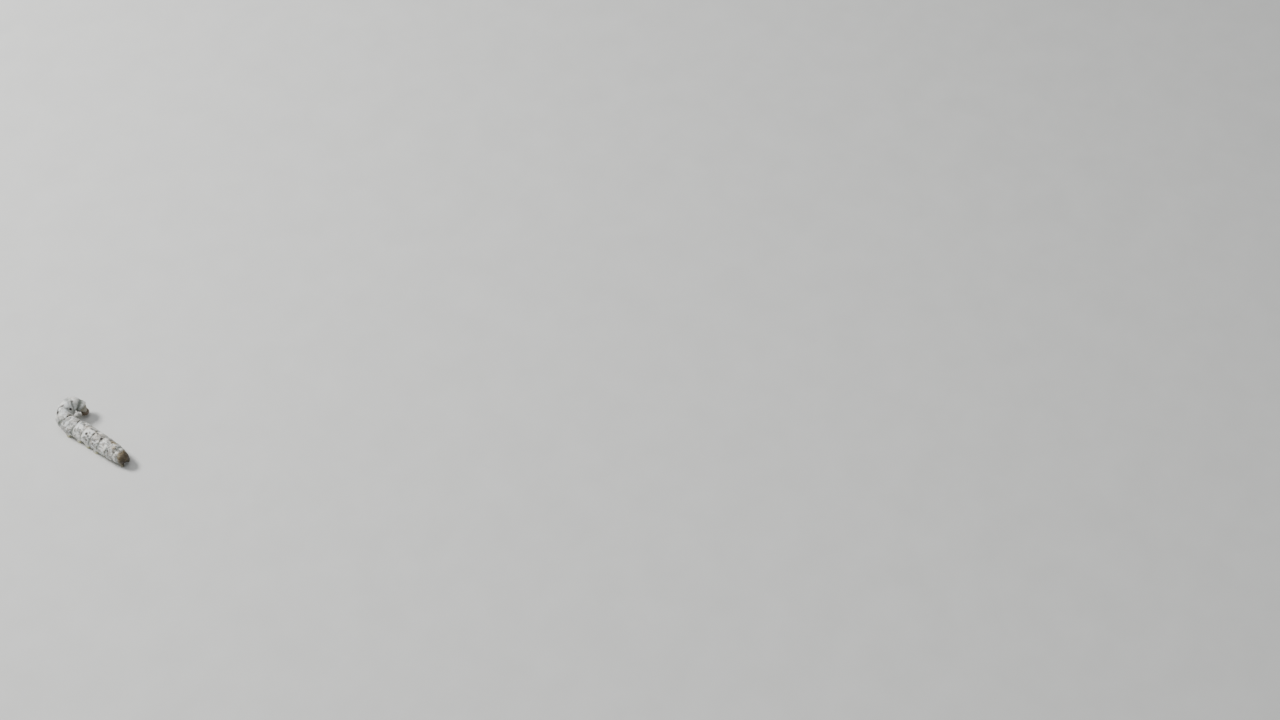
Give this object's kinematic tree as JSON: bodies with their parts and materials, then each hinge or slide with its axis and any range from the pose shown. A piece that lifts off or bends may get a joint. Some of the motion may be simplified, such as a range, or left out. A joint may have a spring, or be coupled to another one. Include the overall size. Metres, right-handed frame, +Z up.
{
  "type": "silkworm model",
  "caption": "Still, life-size model of a white-grey silkworm on its prolegs, the front of its body curled round to its right, with a brown head and a small horn.",
  "frame": {"origin": "centre of the bounding box in plan, at the level of the floor that it stands on", "axes": "+Y along the straight rear of the body, from the front towards the tail; +X towards the worm's left side; +Z up"},
  "size_m": [0.014, 0.039, 0.0095],
  "materials": {
    "skin_white_grey": "white-grey, finely wrinkled, soft sheen",
    "skin_tail_ochre": "ochre-brown, wrinkled, matt",
    "head_brown": "brown, smooth, hard shell",
    "mouth_dark_brown": "dark brown, smooth",
    "antenna_tan": "tan, smooth",
    "leg_tan": "tan, jointed, smooth",
    "proleg_pale_green": "pale yellow-green, wrinkled",
    "horn_ochre": "ochre-brown, matt"
  },
  "bodies": {
    "root": {"abdomen_10": "skin_tail_ochre", "abdomen_9": "skin_white_grey", "abdomen_8": "skin_white_grey", "abdomen_7": "skin_white_grey", "abdomen_6": "skin_white_grey", "abdomen_5": "skin_white_grey", "abdomen_4": "skin_white_grey", "abdomen_3": "skin_white_grey", "abdomen_2": "skin_white_grey", "abdomen_1": "skin_white_grey", "thorax_3": "skin_white_grey", "thorax_2": "skin_white_grey", "thorax_1": "skin_white_grey", "head": "head_brown", "mouthparts": "mouth_dark_brown", "antenna_left": "antenna_tan", "leg_1_left": "leg_tan", "leg_2_left": "leg_tan", "leg_3_left": "leg_tan", "proleg_3_left": "proleg_pale_green", "proleg_4_left": "proleg_pale_green", "proleg_5_left": "proleg_pale_green", "proleg_6_left": "proleg_pale_green", "clasper_left": "proleg_pale_green", "antenna_right": "antenna_tan", "leg_1_right": "leg_tan", "leg_2_right": "leg_tan", "leg_3_right": "leg_tan", "proleg_3_right": "proleg_pale_green", "proleg_4_right": "proleg_pale_green", "proleg_5_right": "proleg_pale_green", "proleg_6_right": "proleg_pale_green", "clasper_right": "proleg_pale_green", "horn": "horn_ochre"}
  },
  "joints": []
}
